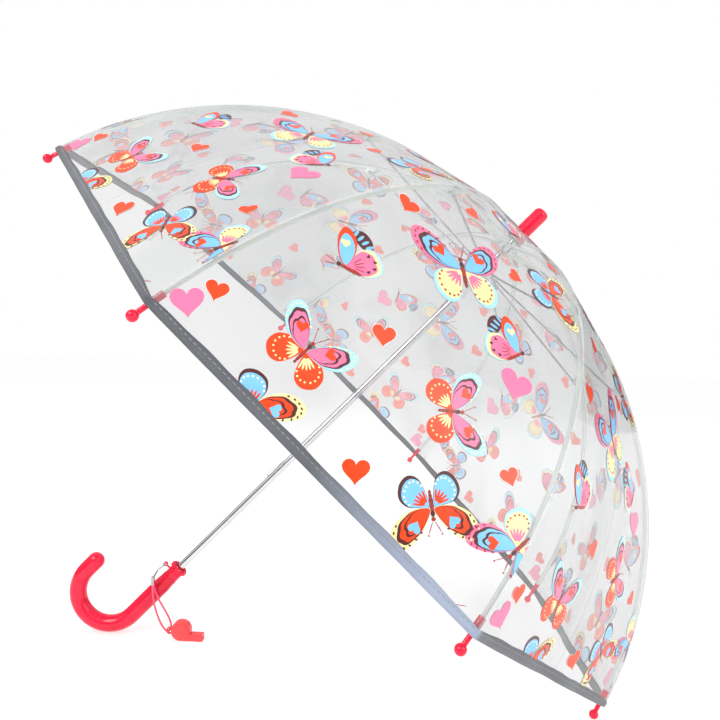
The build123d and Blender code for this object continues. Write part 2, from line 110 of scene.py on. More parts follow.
def makeMouldGroup():
    # moulded plastic: slow colour flow, fine orange peel and a few hairline rubs
    group, inside, outside = newGroup(
        "mouldedSurface",
        [("Color", "NodeSocketColor", (1, 1, 1, 1)), ("Shade", "NodeSocketColor", (0, 0, 0, 1)),
         ("Flow Scale", "NodeSocketFloat", 30), ("Rough", "NodeSocketFloat", 0.25),
         ("Rub Scale", "NodeSocketFloat", 160)],
        [("Color", "NodeSocketColor"), ("Roughness", "NodeSocketFloat"), ("Height", "NodeSocketFloat")])
    new, link = group.nodes.new, group.links.new
    place = new("ShaderNodeTexCoord")
    flow = new("ShaderNodeTexNoise")
    flow.inputs["Detail"].default_value = 3
    peel = new("ShaderNodeTexNoise")
    peel.inputs["Scale"].default_value = 900
    rub = new("ShaderNodeTexNoise")
    rub.inputs["Detail"].default_value = 6
    stretch = new("ShaderNodeMapping")
    stretch.inputs["Scale"].default_value = (1, 1, 0.15)
    flowMix = new("ShaderNodeMix")
    flowMix.data_type = "RGBA"
    flowRange = new("ShaderNodeMapRange")
    flowRange.inputs["From Min"].default_value = 0.35
    flowRange.inputs["From Max"].default_value = 0.75
    rubRange = new("ShaderNodeMapRange")
    rubRange.inputs["From Min"].default_value = 0.58
    rubRange.inputs["From Max"].default_value = 0.72
    rubRange.inputs["To Max"].default_value = 0.16
    roughSum = new("ShaderNodeMath")
    heightSum = new("ShaderNodeMath")
    heightSum.operation = "MULTIPLY_ADD"
    heightSum.inputs[1].default_value = 0.3
    link(place.outputs["Object"], flow.inputs["Vector"])
    link(place.outputs["Object"], peel.inputs["Vector"])
    link(place.outputs["Object"], stretch.inputs["Vector"])
    link(stretch.outputs["Vector"], rub.inputs["Vector"])
    link(inside.outputs["Flow Scale"], flow.inputs["Scale"])
    link(inside.outputs["Rub Scale"], rub.inputs["Scale"])
    link(flow.outputs["Fac"], flowRange.inputs["Value"])
    link(flowRange.outputs["Result"], flowMix.inputs["Factor"])
    link(inside.outputs["Color"], flowMix.inputs["A"])
    link(inside.outputs["Shade"], flowMix.inputs["B"])
    link(rub.outputs["Fac"], rubRange.inputs["Value"])
    link(inside.outputs["Rough"], roughSum.inputs[0])
    link(rubRange.outputs["Result"], roughSum.inputs[1])
    link(peel.outputs["Fac"], heightSum.inputs[0])
    link(flow.outputs["Fac"], heightSum.inputs[2])
    link(flowMix.outputs["Result"], outside.inputs["Color"])
    link(roughSum.outputs["Value"], outside.inputs["Roughness"])
    link(heightSum.outputs["Value"], outside.inputs["Height"])
    return group


def makeWeaveGroup():
    # plain weave along a piece's own UV map: warp and weft threads crossing
    group, inside, outside = newGroup(
        "wovenThreads",
        [("Threads", "NodeSocketFloat", 1600)],
        [("Height", "NodeSocketFloat"), ("Mask", "NodeSocketFloat")])
    new, link = group.nodes.new, group.links.new
    place = new("ShaderNodeUVMap")
    scale = new("ShaderNodeVectorMath")
    scale.operation = "SCALE"
    parts = new("ShaderNodeSeparateXYZ")
    link(place.outputs["UV"], scale.inputs[0])
    link(inside.outputs["Threads"], scale.inputs["Scale"])
    link(scale.outputs["Vector"], parts.inputs["Vector"])
    waves = []
    for axis in "XY":
        wave = new("ShaderNodeMath")
        wave.operation = "SINE"
        link(parts.outputs[axis], wave.inputs[0])
        waves.append(wave)
    crossing = new("ShaderNodeMath")
    crossing.operation = "MULTIPLY"
    link(waves[0].outputs["Value"], crossing.inputs[0])
    link(waves[1].outputs["Value"], crossing.inputs[1])
    mask = new("ShaderNodeMapRange")
    mask.inputs["From Min"].default_value = -1
    link(crossing.outputs["Value"], mask.inputs["Value"])
    link(crossing.outputs["Value"], outside.inputs["Height"])
    link(mask.outputs["Result"], outside.inputs["Mask"])
    return group


def makeWrinkleGroup():
    # long soft creases and pressure marks in thin film
    group, inside, outside = newGroup(
        "filmCreases",
        [("Scale", "NodeSocketFloat", 9), ("Thinness", "NodeSocketFloat", 0.5)],
        [("Height", "NodeSocketFloat"), ("Mask", "NodeSocketFloat")])
    new, link = group.nodes.new, group.links.new
    place = new("ShaderNodeTexCoord")
    stretch = new("ShaderNodeMapping")
    stretch.inputs["Rotation"].default_value = (0.2, 0.75, 0.1)
    stretch.inputs["Scale"].default_value = (1, 1, 0.3)
    broad = new("ShaderNodeTexNoise")
    broad.inputs["Detail"].default_value = 1.5
    broad.inputs["Distortion"].default_value = 0.6
    crease = new("ShaderNodeMapRange")
    crease.interpolation_type = "SMOOTHSTEP"
    crease.inputs["From Min"].default_value = 0.5
    crease.inputs["From Max"].default_value = 0.72
    link(place.outputs["Object"], stretch.inputs["Vector"])
    link(stretch.outputs["Vector"], broad.inputs["Vector"])
    link(inside.outputs["Scale"], broad.inputs["Scale"])
    link(broad.outputs["Fac"], crease.inputs["Value"])
    shrink = new("ShaderNodeMath")
    shrink.operation = "MULTIPLY"
    link(crease.outputs["Result"], shrink.inputs[0])
    link(inside.outputs["Thinness"], shrink.inputs[1])
    link(broad.outputs["Fac"], outside.inputs["Height"])
    link(shrink.outputs["Value"], outside.inputs["Mask"])
    return group


mouldGroup, weaveGroup, wrinkleGroup = makeMouldGroup(), makeWeaveGroup(), makeWrinkleGroup()


def placeGroup(tree, group, values):
    node = tree.nodes.new("ShaderNodeGroup")
    node.node_tree = group
    setShader(node, values)
    return node


def addBump(tree, shader, height, strength, distance):
    bump = tree.nodes.new("ShaderNodeBump")
    setShader(bump, {"Strength": strength, "Distance": distance})
    tree.links.new(height, bump.inputs["Height"])
    tree.links.new(bump.outputs["Normal"], shader.inputs["Normal"])


# materials
plastics = {
    "coralPlastic": {"color": (0.90, 0.014, 0.062, 1), "shade": (0.70, 0.007, 0.036, 1), "rough": 0.16,
                     "shader": {"Subsurface Weight": 0.25, "Subsurface Radius": (0.01, 0.002, 0.002),
                                "Subsurface Scale": 0.5, "Specular IOR Level": 0.35, "Coat Weight": 0.2,
                                "Coat Roughness": 0.05}},
    "whistlePlastic": {"color": (1.0, 0.085, 0.09, 1), "shade": (0.9, 0.05, 0.06, 1), "rough": 0.38,
                       "shader": {"Subsurface Weight": 0.3, "Subsurface Radius": (0.01, 0.003, 0.002),
                                  "Subsurface Scale": 0.5, "Coat Weight": 0.1}},
    "notchPlastic": {"color": (0.86, 0.87, 0.86, 1), "shade": (0.74, 0.76, 0.76, 1), "rough": 0.35,
                     "shader": {"Subsurface Weight": 0.1}},
    "washerPlastic": {"color": (0.88, 0.86, 0.85, 1), "shade": (0.8, 0.72, 0.7, 1), "rough": 0.3,
                      "shader": {"Alpha": 0.75, "Coat Weight": 0.4}},
    "peaPlastic": {"color": (0.75, 0.68, 0.55, 1), "shade": (0.6, 0.52, 0.4, 1), "rough": 0.6, "shader": {}},
    "cordPlastic": {"color": (0.95, 0.06, 0.13, 1), "shade": (0.98, 0.12, 0.22, 1), "rough": 0.32,
                    "shader": {"Subsurface Weight": 0.25, "Subsurface Radius": (0.006, 0.002, 0.002),
                               "Coat Weight": 0.2}},
    "fibreglass": {"color": (0.66, 0.74, 0.69, 1), "shade": (0.78, 0.84, 0.80, 1), "rough": 0.28,
                   "shader": {"Subsurface Weight": 0.2, "Coat Weight": 0.4, "Coat Roughness": 0.12}},
}
metals = {
    "chromeTube": {"color": (0.80, 0.81, 0.82, 1), "shade": (0.66, 0.68, 0.70, 1), "rough": 0.1, "flow": 18},
    "drawnWire": {"color": (0.62, 0.63, 0.64, 1), "shade": (0.42, 0.43, 0.45, 1), "rough": 0.24, "flow": 60},
    "springSteel": {"color": (0.50, 0.51, 0.52, 1), "shade": (0.36, 0.36, 0.37, 1), "rough": 0.3, "flow": 90},
}


def makeMoulded(name, shaderValues, surfaceValues, strength, distance):
    # a material that takes colour, roughness and bump from the mouldedSurface group
    material, tree, shader = nodeMaterial(name)
    setShader(shader, shaderValues)
    surface = placeGroup(tree, mouldGroup, surfaceValues)
    tree.links.new(surface.outputs["Color"], shader.inputs["Base Color"])
    tree.links.new(surface.outputs["Roughness"], shader.inputs["Roughness"])
    addBump(tree, shader, surface.outputs["Height"], strength, distance)
    return material


def makePlastic(name):
    facts = plastics[name]
    surface = {"Color": facts["color"], "Shade": facts["shade"], "Rough": facts["rough"]}
    return makeMoulded(name, facts["shader"], surface, 0.02, 0.00005)


def makeMetal(name):
    facts = metals[name]
    surface = {"Color": facts["color"], "Shade": facts["shade"], "Rough": facts["rough"],
               "Flow Scale": facts["flow"]}
    return makeMoulded(name, {"Metallic": 1}, surface, 0.12, 0.0001)


filmLook = {
    "canopyFilm": {"color": (0.42, 0.43, 0.44, 1), "thin": 0.10, "edge": 0.27, "rough": 0.04,
                   "crease": 0.10},
    "seamWeld": {"color": (0.80, 0.82, 0.82, 1), "thin": 0.10, "edge": 0.30, "rough": 0.10,
                 "crease": 0.10},
}


def makeFilm(name):
    # clear film: nearly unseen where it faces the eye, milky and shiny where it turns away or creases
    facts = filmLook[name]
    material, tree, shader = nodeMaterial(name)
    setShader(shader, {"Base Color": facts["color"], "IOR": 1.5, "Coat Weight": 0.3, "Coat Roughness": 0.03})
    crease = placeGroup(tree, wrinkleGroup, {"Scale": 9, "Thinness": facts["crease"]})
    facing = tree.nodes.new("ShaderNodeLayerWeight")
    facing.inputs["Blend"].default_value = 0.32
    turned = tree.nodes.new("ShaderNodeMapRange")
    setShader(turned, {"To Min": facts["thin"], "To Max": facts["edge"]})
    total = tree.nodes.new("ShaderNodeMath")
    total.use_clamp = True
    rough = tree.nodes.new("ShaderNodeMath")
    rough.operation = "MULTIPLY_ADD"
    rough.inputs[1].default_value = 0.4
    rough.inputs[2].default_value = facts["rough"]
    tree.links.new(facing.outputs["Facing"], turned.inputs["Value"])
    tree.links.new(turned.outputs["Result"], total.inputs[0])
    tree.links.new(crease.outputs["Mask"], total.inputs[1])
    tree.links.new(total.outputs["Value"], shader.inputs["Alpha"])
    tree.links.new(crease.outputs["Mask"], rough.inputs[0])
    tree.links.new(rough.outputs["Value"], shader.inputs["Roughness"])
    addBump(tree, shader, crease.outputs["Height"], 0.3, 0.002)
    return material


def makeTape():
    # reflective binding: dark grey weave with glass-bead glints, and a painted highlight in pale blue-grey over
    # part of one tape
    material, tree, shader = nodeMaterial("hemTape")
    setShader(shader, {"Sheen Weight": 0.25, "Sheen Roughness": 0.4, "Metallic": 0.25})
    weave = placeGroup(tree, weaveGroup, {"Threads": 9000})
    surface = placeGroup(tree, mouldGroup, {"Color": (0.085, 0.088, 0.098, 1), "Shade": (0.16, 0.17, 0.19, 1),
                                            "Flow Scale": 14, "Rough": 0.42, "Rub Scale": 220})
    mix = tree.nodes.new("ShaderNodeMix")
    mix.data_type = "RGBA"
    mix.inputs["B"].default_value = (0.26, 0.27, 0.30, 1)
    # painted highlight: a pale blue-grey mixed in wherever a point attribute on the tape asks for it
    highlightMix = tree.nodes.new("ShaderNodeMix")
    highlightMix.data_type = "RGBA"
    highlightMix.inputs["B"].default_value = (0.40, 0.46, 0.60, 1)
    paintedHighlight = tree.nodes.new("ShaderNodeVertexColor")
    paintedHighlight.layer_name = "paintedHighlight"
    thin = tree.nodes.new("ShaderNodeMath")
    thin.operation = "MULTIPLY"
    thin.inputs[1].default_value = 0.35
    tree.links.new(weave.outputs["Mask"], thin.inputs[0])
    tree.links.new(thin.outputs["Value"], mix.inputs["Factor"])
    tree.links.new(surface.outputs["Color"], mix.inputs["A"])
    tree.links.new(mix.outputs["Result"], highlightMix.inputs["A"])
    tree.links.new(paintedHighlight.outputs["Color"], highlightMix.inputs["Factor"])
    tree.links.new(highlightMix.outputs["Result"], shader.inputs["Base Color"])
    tree.links.new(surface.outputs["Roughness"], shader.inputs["Roughness"])
    addBump(tree, shader, weave.outputs["Height"], 0.5, 0.0002)
    return material


def makeThread():
    surface = {"Color": (0.36, 0.37, 0.40, 1), "Shade": (0.24, 0.25, 0.28, 1), "Flow Scale": 300, "Rough": 0.6}
    return makeMoulded("stitchThread", {"Sheen Weight": 0.3, "Metallic": 0.1}, surface, 0.6, 0.0002)


def makeInk():
    # screen-printed ink: the motif's own colour with the slight unevenness of a print
    material, tree, shader = nodeMaterial("printInk")
    setShader(shader, {"Coat Weight": 0.25, "Coat Roughness": 0.1})
    ink = tree.nodes.new("ShaderNodeVertexColor")
    ink.layer_name = "ink"
    surface = placeGroup(tree, mouldGroup, {"Color": (1, 1, 1, 1), "Shade": (0.93, 0.93, 0.93, 1),
                                            "Flow Scale": 120, "Rough": 0.34, "Rub Scale": 300})
    blend = tree.nodes.new("ShaderNodeMix")
    blend.data_type = "RGBA"
    blend.blend_type = "MULTIPLY"
    blend.inputs["Factor"].default_value = 1
    tree.links.new(ink.outputs["Color"], blend.inputs["A"])
    tree.links.new(surface.outputs["Color"], blend.inputs["B"])
    tree.links.new(blend.outputs["Result"], shader.inputs["Base Color"])
    tree.links.new(surface.outputs["Roughness"], shader.inputs["Roughness"])
    addBump(tree, shader, surface.outputs["Height"], 0.1, 0.0001)
    return material


material = {name: makePlastic(name) for name in plastics}
material.update({name: makeMetal(name) for name in metals})
material.update({name: makeFilm(name) for name in filmLook})
material.update({"hemTape": makeTape(), "stitchThread": makeThread(), "printInk": makeInk()})
print("materials made", len(material))

# CAD pieces that keep their shape get their finish
finishOf = {"shaft": "chromeTube", "handle": "coralPlastic", "handle_collar": "coralPlastic",
            "top_notch": "notchPlastic", "ferrule": "coralPlastic", "crown_washer": "washerPlastic",
            "catch_springs": "springSteel", "runner": "notchPlastic", "lanyard_clip": "drawnWire",
            "whistle": "whistlePlastic", "whistle_pea": "peaPlastic"}
for k in ribNumbers:
    finishOf.update({f"rib_upper_{k}": "fibreglass", f"rib_lower_{k}": "fibreglass",
                     f"rib_tip_{k}": "coralPlastic", f"stretcher_{k}": "drawnWire"})
for name, finish in finishOf.items():
    node = frame["nodes"][name]
    node.data.materials.clear()
    node.data.materials.append(material[finish])

makeCamera()

# the lanyard's cord
cordFacts = {"radius": 0.001, "drumX": -0.163, "length": 0.110}
cordRoute = [(-194.8, -14.2, 57.5), (-194.5, -14.3, 48.5), (-192.4, -14.8, 36.0), (-187.8, -15.5, 23.5),
             (-182.6, -16.3, 14.0), (-177.8, -16.4, 9.2), (-175.6, -13.0, 9.2), (-174.6, -9.6, 12.0),
             (-176.8, -9.2, 19.5), (-181.6, -10.2, 29.0), (-187.4, -11.2, 38.8), (-192.3, -11.7, 48.8),
             (-194.8, -11.8, 57.5)]  # millimetres, from the crimp round the whistle's eye and back


def makeCord():
    peaLow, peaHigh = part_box("whistle_pea")
    shift = Vector(((peaLow.x + peaHigh.x) / 2 - cordFacts["drumX"], 0, 0))
    points = [Vector(point) / 1000 + shift for point in cordRoute]
    curve = bpy.data.curves.new("lanyardCord", "CURVE")
    curve.dimensions = "3D"
    curve.bevel_depth = cordFacts["radius"]
    curve.bevel_resolution = 5
    curve.resolution_u = 12
    curve.use_fill_caps = True
    spline = curve.splines.new("NURBS")
    spline.points.add(len(points) - 1)
    for target, point in zip(spline.points, points):
        target.co = (*point, 1)
    spline.order_u = 3
    spline.use_endpoint_u = True
    cord = bpy.data.objects.new("lanyardCord", curve)
    bpy.context.scene.collection.objects.link(cord)
    curve.materials.append(material["cordPlastic"])
    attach(cord, "lanyard")
    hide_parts("lanyard_cord")


makeCord()
print("cord made")

# the dome's surface: panels bent one way, measured from the hem up
# metres: radius at the rib tips, how far below them the lower arc's centre is, distance from the shaft at the fold,
# radius of the crown's arc and of its hole, and how far the hem hangs below the tips
dome = {"rim": 0.370, "drop": 0.0936, "split": 0.1745, "crownArc": 0.309, "crownHole": 0.0065,
        "belowRim": 0.0043}
panelRim = dome["rim"] * cos(halfPanel)
domeArc = hypot(panelRim, dome["drop"])
splitAngle = acos(dome["split"] / domeArc)
rimSlope = atan2(dome["drop"], panelRim) - dome["belowRim"] / domeArc
crownX = (domeArc - dome["crownArc"]) * cos(splitAngle)
crownZ = (domeArc - dome["crownArc"]) * sin(splitAngle) - dome["drop"]
crownAngle = acos((dome["crownHole"] - crownX) / dome["crownArc"])
lowerLength = domeArc * (splitAngle - rimSlope)
fullLength = lowerLength + dome["crownArc"] * (crownAngle - splitAngle)
filmFacts = {"thickness": 0.0003, "rippleHeight": 0.0011, "rippleReach": 0.07,
             "wave": 52, "waveShift": 1.7, "smallWave": 90, "smallSlant": 30, "smallShift": 2.6, "smallShare": 0.6}


def profile(along):
    # distance from the shaft, height and outward slope at a distance up the middle of a panel
    if along <= lowerLength:
        slope = rimSlope + along / domeArc
        return domeArc * cos(slope), domeArc * sin(slope) - dome["drop"], slope
    slope = splitAngle + (along - lowerLength) / dome["crownArc"]
    return crownX + dome["crownArc"] * cos(slope), crownZ + dome["crownArc"] * sin(slope), slope


def halfWidth(along):
    return profile(along)[0] * tan(halfPanel)


def onDome(panel, across, along, lift):
    # a place on panel number 1 to 8; across is to the right as seen from outside
    r, z, slope = profile(along)
    share = across / (r * tan(halfPanel))
    calm = max(0, 1 - share * share) * exp(-max(along, 0) / filmFacts["rippleReach"])
    broad = sin(across * filmFacts["wave"] + panel * filmFacts["waveShift"])
    small = sin(across * filmFacts["smallWave"] - along * filmFacts["smallSlant"] + panel * filmFacts["smallShift"])
    swell = broad + filmFacts["smallShare"] * small
    lift = lift + filmFacts["rippleHeight"] * calm * swell
    r, z = r + lift * cos(slope), z + lift * sin(slope)
    angle = panel * 2 * halfPanel
    return lying(r * cos(angle) - across * sin(angle), r * sin(angle) + across * cos(angle), z)


def followRib(piece, k, level):
    # pieces of canopy ride on their rib
    body = f"rib_{k}" if level == "upper" else f"rib_outer_{k}"
    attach(piece, body)
    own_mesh(piece)


def panelsBeside(k):
    # rib k stands between panel k - 1 and panel k; its half of each, and the way to go from the seam
    return ((k - 1, 1), (k % 8, -1))


def activate(piece):
    bpy.ops.object.select_all(action="DESELECT")
    piece.select_set(True)
    bpy.context.view_layer.objects.active = piece


def meshPiece(name, points, faces, finish):
    mesh = bpy.data.meshes.new(name)
    mesh.from_pydata(points, [], faces)
    piece = bpy.data.objects.new(name, mesh)
    bpy.context.scene.collection.objects.link(piece)
    mesh.materials.append(material[finish])
    return piece


def addUv(piece, values):
    layer = piece.data.uv_layers.new(name="UVMap")
    for loop in piece.data.loops:
        layer.data[loop.index].uv = values[loop.vertex_index]


def thicken(piece, thickness, smoothAngle):
    activate(piece)
    solid = piece.modifiers.new("thickness", "SOLIDIFY")
    solid.thickness = thickness
    solid.offset = -1
    bpy.ops.object.modifier_apply(modifier=solid.name)
    bpy.ops.object.shade_smooth_by_angle(angle=radians(smoothAngle))


def faceOutward(piece):
    activate(piece)
    bpy.ops.object.mode_set(mode="EDIT")
    bpy.ops.mesh.select_all(action="SELECT")
    bpy.ops.mesh.normals_make_consistent(inside=False)
    bpy.ops.object.mode_set(mode="OBJECT")
    bpy.ops.object.shade_smooth_by_angle(angle=radians(60))


def reachOf(level):
    # where the lower or the upper canopy begins and ends, measured up from the hem
    return (0, lowerLength) if level == "lower" else (lowerLength, fullLength)


# film: a gore for each rib, upper and lower
gore = {"columns": 14, "upperRows": 22, "lowerRows": 34}


def goreGrid(k, level):
    rows = gore[f"{level}Rows"]
    low, high = reachOf(level)
    columns = gore["columns"]
    (leftPanel, _), (rightPanel, _) = panelsBeside(k)
    points, uvs, faces = [], [], []
    for row in range(rows + 1):
        along = low + (high - low) * row / rows
        width = halfWidth(along)
        for column in range(-columns, columns + 1):
            share = column / columns
            if share <= 0:
                points.append(onDome(leftPanel, width * (1 + share), along, 0))
            else:
                points.append(onDome(rightPanel, width * (share - 1), along, 0))
            uvs.append((width * share, along))
    across = 2 * columns + 1
    for row in range(rows):
        for column in range(across - 1):
            first = row * across + column
            faces.append((first, first + 1, first + across + 1, first + across))
    return points, uvs, faces


def flatArea(low, high, steps=60):
    widths = (2 * halfWidth(low + (high - low) * (i + 0.5) / steps) for i in range(steps))
    return sum(widths) * (high - low) / steps


def makeGores():
    for k in ribNumbers:
        for level in ("upper", "lower"):
            low, high = reachOf(level)
            points, uvs, faces = goreGrid(k, level)
            piece = meshPiece(f"film_{level}_{k}", points, faces, "canopyFilm")
            addUv(piece, uvs)
            thicken(piece, filmFacts["thickness"], 20)
            followRib(piece, k, level)
            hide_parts(f"canopy_{level}_{k}")
            flatArea(low, high)


makeGores()
print("film made")

# welded seams over the ribs
seam = {"width": 0.0016, "lift": 0.00022, "thickness": 0.0002, "rows": 40, "fromHem": 0.003,
        "ridge": 1.6, "foot": 0.4, "widest": 0.8}  # shares of the lift, and of half a panel's width


def makeSeams():
    for k in ribNumbers:
        for level in ("upper", "lower"):
            low, high = reachOf(level)
            low = max(low, seam["fromHem"])
            (leftPanel, _), (rightPanel, _) = panelsBeside(k)
            points, faces = [], []
            for row in range(seam["rows"] + 1):
                along = low + (high - low) * row / seam["rows"]
                edge = halfWidth(along)
                inset = min(seam["width"], edge * seam["widest"])
                ridge, foot = seam["lift"] * seam["ridge"], seam["lift"] * seam["foot"]
                points += [onDome(leftPanel, edge - inset, along, foot),
                           onDome(leftPanel, edge - inset * 0.5, along, seam["lift"]),
                           onDome(leftPanel, edge, along, ridge),
                           onDome(rightPanel, inset * 0.5 - edge, along, seam["lift"]),
                           onDome(rightPanel, inset - edge, along, foot)]
            for row in range(seam["rows"]):
                for column in range(4):
                    first = row * 5 + column
                    faces.append((first, first + 1, first + 6, first + 5))
            piece = meshPiece(f"seam_{level}_{k}", points, faces, "seamWeld")
            thicken(piece, seam["thickness"], 50)
            followRib(piece, k, level)


makeSeams()
print("seams made")

# hem: tape folded over the film's edge, with a row of stitches
hem = {"width": 0.0070, "gather": 0.30, "stand": 0.0007, "edge": 0.0012, "columns": 26,
       "stitchPitch": 0.0042, "stitchLength": 0.0030, "stitchRadius": 0.00032, "stitchRow": 0.0039,
       "stitchSides": 5, "puckerAtRib": 0.5, "puckerFade": 14, "gatherFade": 7, "unevenLift": 0.05,
       "unevenWidth": 0.04, "uvStep": 0.002,
       "highlightRib": 7, "highlightGain": 1.4}  # painted highlight on the tape of the panel before this rib, and how fast it rises towards the rib


def makeHems():
    width, stand, edge = hem["width"], hem["stand"], hem["edge"]
    outside = [(width, 0.0004), (width * 0.96, stand), (width * 0.55, stand * 1.25), (width * 0.3, stand * 0.95),
               (0, stand), (-edge, -0.00015), (0, -stand * 1.3), (width * 0.3, -stand * 1.25),
               (width * 0.55, -stand * 1.6), (width * 0.96, -stand * 1.3), (width, -0.0007)]
    inside = [(width, -0.0004), (width * 0.3, -0.0004), (0, -0.0004), (-edge * 0.4, -0.00015), (0, 0.0001),
              (width * 0.3, 0.0001), (width, 0.0001)]
    section = outside + inside  # up the film, and out of it
    count = len(section)
    for k in ribNumbers:
        points, uvs, faces = [], [], []
        (leftPanel, _), (rightPanel, _) = panelsBeside(k)
        for column in range(-hem["columns"], hem["columns"] + 1):
            share = column / hem["columns"]
            uneven = hem["unevenLift"] * sin(column * 1.9 + k)
            pucker = 1 + uneven + hem["puckerAtRib"] * exp(-abs(share) * hem["puckerFade"])
            narrowing = hem["gather"] * exp(-abs(share) * hem["gatherFade"])
            gathered = 1 - narrowing + hem["unevenWidth"] * sin(column * 0.9 + 2.1 * k)
            for number, (along, lift) in enumerate(section):
                along = along * gathered
                reach = halfWidth(along)
                panel, across = leftPanel, reach * (1 + share)
                if share > 0:
                    panel, across = rightPanel, reach * (share - 1)
                points.append(onDome(panel, across, along, lift * pucker))
                uvs.append((share * reach, number * hem["uvStep"]))
        for column in range(2 * hem["columns"]):
            for number in range(count):
                first, following = column * count + number, column * count + (number + 1) % count
                faces.append((first, following, following + count, first + count))
        faces.append(tuple(range(count - 1, -1, -1)))
        faces.append(tuple(range(2 * hem["columns"] * count, (2 * hem["columns"] + 1) * count)))
        piece = meshPiece(f"hem_tape_{k}", points, faces, "hemTape")
        addUv(piece, uvs)
        # painted highlight: on one tape only, rising from the panel's middle to full strength near the rib, where
        # the key light falls
        attribute = piece.data.color_attributes.new("paintedHighlight", "FLOAT_COLOR", "POINT")
        for number, value in enumerate(attribute.data):
            share = number // count / hem["columns"] - 1
            flat = 0.0 if share > 0 or k != hem["highlightRib"] else min(1, (1 + share) * hem["highlightGain"])
            value.color = (flat, flat, flat, 1)
        faceOutward(piece)
        followRib(piece, k, "lower")


def makeStitches():
    radius, half, sides = hem["stitchRadius"], hem["stitchLength"] / 2, hem["stitchSides"]
    rings = ((-half, 0.2), (-half * 0.5, 1), (half * 0.5, 1), (half, 0.2))  # place and share of the radius
    for k in ribNumbers:
        points, faces = [], []
        for panel, side in panelsBeside(k):
            reach = halfWidth(hem["stitchRow"])
            for step in range(int(reach / hem["stitchPitch"])):
                middle = side * hem["stitchPitch"] * (step + 0.5)
                for face in (1, -1):
                    start = len(points)
                    for shift, thick in rings:
                        for turn in range(sides):
                            angle = turn * 2 * pi / sides
                            along = hem["stitchRow"] + radius * thick * cos(angle)
                            lift = face * (hem["stand"] * 1.25 + radius * 0.3 + radius * thick * sin(angle))
                            points.append(onDome(panel, middle + shift, along, lift))
                    for first in range(start, start + (len(rings) - 1) * sides, sides):
                        for turn in range(sides):
                            a, b = first + turn, first + (turn + 1) % sides
                            faces.append((a, b, b + sides, a + sides))
                    faces.append(tuple(start + turn for turn in range(sides)))
                    faces.append(tuple(len(points) - sides + turn for turn in range(sides)))
        piece = meshPiece(f"hem_stitches_{k}", points, faces, "stitchThread")
        faceOutward(piece)
        followRib(piece, k, "lower")


makeHems()
makeStitches()
print("hem made")

# the print: generic butterflies and hearts, laid out flat on a panel
inks = {"orange": (0.98, 0.06, 0.0), "pink": (1.0, 0.20, 0.38), "sky": (0.22, 0.60, 0.98),
        "cream": (1.0, 0.86, 0.40), "dark": (0.10, 0.02, 0.02), "rust": (0.45, 0.03, 0.01),
        "ice": (0.42, 0.80, 0.95), "white": (1.0, 0.97, 0.92), "heartPink": (1.0, 0.20, 0.40)}


def smoothLoop(corners, steps=4):
    # a closed outline through the corners
    points, count = [], len(corners)
    for i in range(count):
        a, b, c, d = (Vector(corners[(i + shift) % count]) for shift in (-1, 0, 1, 2))
        for step in range(steps):
            t = step / steps
            points.append(0.5 * (2 * b + (c - a) * t + (2 * a - 5 * b + 4 * c - d) * t * t
                                 + (3 * b - a - 3 * c + d) * t * t * t))
    return points


def shrunk(outline, about, size, waves=0, depth=0.0):
    # the outline drawn in towards a point, with scallops round it
    points, count = [], len(outline)
    for i, point in enumerate(outline):
        ripple = depth * abs(sin(pi * waves * i / count))
        points.append(Vector(about) + (point - Vector(about)) * (size - depth + ripple))
    return points


def oval(x, y, width, height, turn=0.0, count=9):
    points = []
    for i in range(count):
        angle = 2 * pi * i / count
        px, py = width * cos(angle) / 2, height * sin(angle) / 2
        points.append(Vector((x + px * cos(turn) - py * sin(turn), y + px * sin(turn) + py * cos(turn))))
    return points


def heart(x, y, size, turn=0.0, count=28):
    points = []
    for i in range(count):
        a = 2 * pi * i / count
        px = size * sin(a) ** 3 / 2
        py = size * (13 * cos(a) - 5 * cos(2 * a) - 2 * cos(3 * a) - cos(4 * a)) / 32
        points.append(Vector((x + px * cos(turn) - py * sin(turn), y + px * sin(turn) + py * cos(turn))))
    return points


wings = {
    "upper": [(0.05, 0.02), (0.16, 0.28), (0.40, 0.58), (0.72, 0.78), (0.95, 0.74), (1.0, 0.50), (0.86, 0.22),
              (0.58, 0.03), (0.28, -0.03)],
    "lower": [(0.05, -0.03), (0.28, -0.04), (0.55, -0.10), (0.70, -0.30), (0.64, -0.58), (0.44, -0.74),
              (0.22, -0.66), (0.10, -0.36)],
    "round": [(0.05, -0.02), (0.26, 0.04), (0.50, 0.0), (0.72, -0.18), (0.74, -0.46), (0.52, -0.66), (0.26, -0.62),
              (0.10, -0.34)],
    "front": [(-0.05, -0.30), (-0.30, 0.0), (-0.42, 0.42), (-0.34, 0.74), (-0.12, 0.70), (0.08, 0.42), (0.10, 0.0)],
    "back": [(0.0, -0.32), (0.10, 0.06), (0.28, 0.36), (0.55, 0.42), (0.80, 0.20), (0.86, -0.10), (0.62, -0.34),
             (0.30, -0.40)],
    "crest": [(-0.16, 0.60), (-0.02, 0.84), (0.22, 0.88), (0.46, 0.70), (0.52, 0.46), (0.30, 0.38), (0.06, 0.50)],
}
butterflies = {
    "poppy": {"lower": "round", "upperEdge": "ice", "upperBand": "dark", "upperMain": "pink", "spot": "orange",
              "edgeDots": "cream", "lowerEdge": "orange", "lowerMain": "orange", "lowerDots": "cream",
              "rays": "cream", "body": "rust"},
    "meadow": {"lower": "lower", "upperEdge": "pink", "upperBand": "dark", "upperMain": "sky", "spot": "orange",
               "edgeDots": "rust", "lowerEdge": "ice", "lowerMain": "cream", "lowerDots": "rust", "rays": "pink",
               "body": "rust"},
    "dusk": {"lower": "lower", "upperEdge": "cream", "upperBand": "dark", "upperMain": "orange", "spot": "sky",
             "edgeDots": "dark", "lowerEdge": "dark", "lowerMain": "sky", "lowerDots": "white", "rays": "orange",
             "body": "rust"},
}


